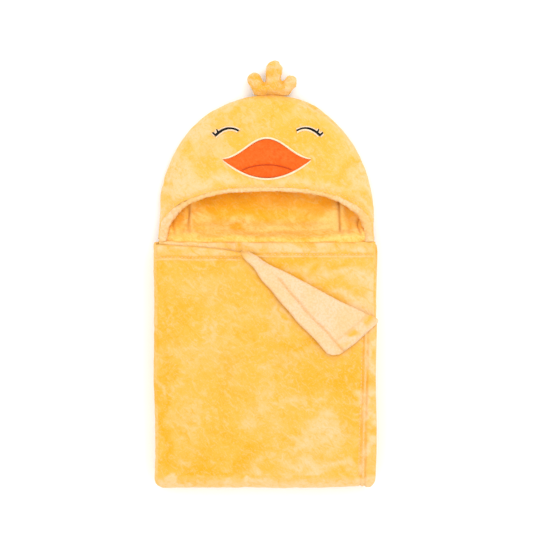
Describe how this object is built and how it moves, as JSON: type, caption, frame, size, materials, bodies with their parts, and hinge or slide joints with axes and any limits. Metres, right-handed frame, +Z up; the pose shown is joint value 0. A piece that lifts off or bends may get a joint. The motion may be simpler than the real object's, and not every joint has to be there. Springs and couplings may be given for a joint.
{
  "type": "hooded baby towel",
  "caption": "Plush hooded baby towel with a duck's face, folded flat: letter-folded sheet, one corner turned down, lined hood laid out above it, stuffed tuft on the crown.",
  "frame": {"origin": "middle of the whole outline, on the surface that the towel lies on", "axes": "+Z up from the surface, +Y from the bottom fold towards the hood and tuft, +X to the right seen from above"},
  "size_m": [0.254, 0.4859, 0.043],
  "materials": {
    "plush_face": "coral fleece, long soft pile, brushed in patches",
    "plush_reverse": "coral fleece, short terry-like pile, paler",
    "plush_lining": "coral fleece, deeper yellow in the shade of the hood",
    "rim_binding": "turned and stitched edge, pale, slightly nubby",
    "neck_tape": "woven cotton tape, matt",
    "label_satin": "plain satin ribbon, blank",
    "hem_thread": "polyester sewing thread",
    "beak_plush": "short orange plush",
    "beak_thread": "dark orange embroidery thread",
    "cream_thread": "cream satin stitch",
    "black_thread": "black satin stitch",
    "filling": "polyester fibre filling"
  },
  "bodies": {
    "towel_body": {"body_panel": "plush_face", "front_hem_thread": "hem_thread", "side_hem_thread": "hem_thread", "under_hem_thread": "hem_thread", "neck_tape": "neck_tape", "care_label": "label_satin"},
    "corner": {"corner_panel": "plush_reverse", "corner_hem_thread": "hem_thread"},
    "hood": {"hood_back_shell": "plush_face", "hood_back_lining": "plush_lining", "hood_front_shell": "plush_face", "hood_front_lining": "plush_lining", "hood_rim_binding": "rim_binding", "hood_rim_thread": "hem_thread", "beak_patch": "beak_plush", "beak_edging": "cream_thread", "mouth_stitching": "beak_thread", "left_eye_backing": "cream_thread", "left_eye_stitching": "black_thread", "right_eye_backing": "cream_thread", "right_eye_stitching": "black_thread"},
    "tuft": {"tuft_front": "plush_face", "tuft_back": "plush_face", "tuft_filling": "filling"}
  },
  "joints": [
    {"name": "hood_neck_fold", "type": "hinge", "parent": "towel_body", "child": "hood", "pos_m": [0, 0.038, 0.024], "axis": [1, 0, 0], "range_deg": [0, 140]},
    {"name": "tuft_flex", "type": "hinge", "parent": "hood", "child": "tuft", "pos_m": [0.006, 0.202, 0.012], "axis": [1, 0, 0], "range_deg": [0, 60], "stiffness_Nm_per_rad": 0.002},
    {"name": "corner_turn", "type": "hinge", "parent": "towel_body", "child": "corner", "pos_m": [-0.02936, 0.02607, 0.03295], "axis": [-0.8918, 0.4524, 0], "range_deg": [0, 180]}
  ]
}
